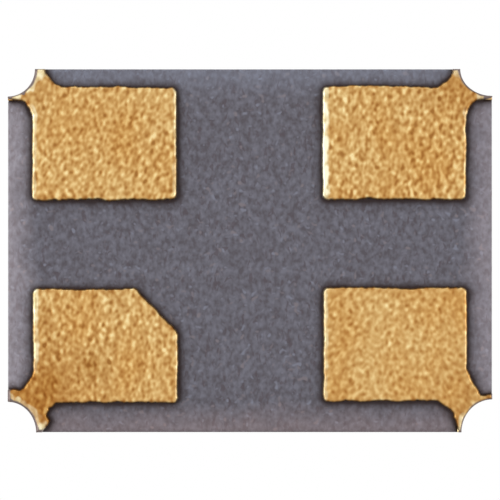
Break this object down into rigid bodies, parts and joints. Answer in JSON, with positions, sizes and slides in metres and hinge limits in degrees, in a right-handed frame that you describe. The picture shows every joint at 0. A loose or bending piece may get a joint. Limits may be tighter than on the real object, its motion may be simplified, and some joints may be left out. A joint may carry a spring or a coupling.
{
  "type": "crystal oscillator",
  "caption": "Very small surface-mount quartz clock oscillator: ceramic package with notched corners, gold-plated solder terminals underneath and a seam-welded metal lid.",
  "frame": {"origin": "centre of the underside, on the plane of the terminals' solder faces", "axes": "+Z from the board up to the lid, +X along the 1.6 mm length, +Y along the width; the terminal with the cut corner is at -X, +Y"},
  "size_m": [0.0016, 0.0012, 0.0006],
  "materials": {
    "ceramic": "matte",
    "gold_plate": "satin",
    "fired_metal": "matte",
    "gold_bump": "satin",
    "silicon": "polished",
    "adhesive": "satin",
    "quartz": "polished",
    "gold_film": "polished",
    "braze": "satin",
    "nickel_ring": "satin",
    "nickel_lid": "satin"
  },
  "bodies": {
    "root": {"ceramic_package": "ceramic", "terminal_enable": "gold_plate", "terminal_ground": "gold_plate", "terminal_output": "gold_plate", "terminal_supply": "gold_plate", "lead_enable": "fired_metal", "lead_ground": "fired_metal", "lead_output": "fired_metal", "lead_supply": "fired_metal", "crystal_lead_a": "fired_metal", "crystal_lead_b": "fired_metal", "bump_enable": "gold_bump", "bump_ground": "gold_bump", "bump_output": "gold_bump", "bump_supply": "gold_bump", "bump_crystal_a": "gold_bump", "bump_crystal_b": "gold_bump", "oscillator_chip": "silicon", "adhesive_a": "adhesive", "adhesive_b": "adhesive", "quartz_blank": "quartz", "electrode_top": "gold_film", "electrode_bottom": "gold_film", "seal_braze": "braze", "seal_ring": "nickel_ring", "lid": "nickel_lid"}
  },
  "joints": []
}
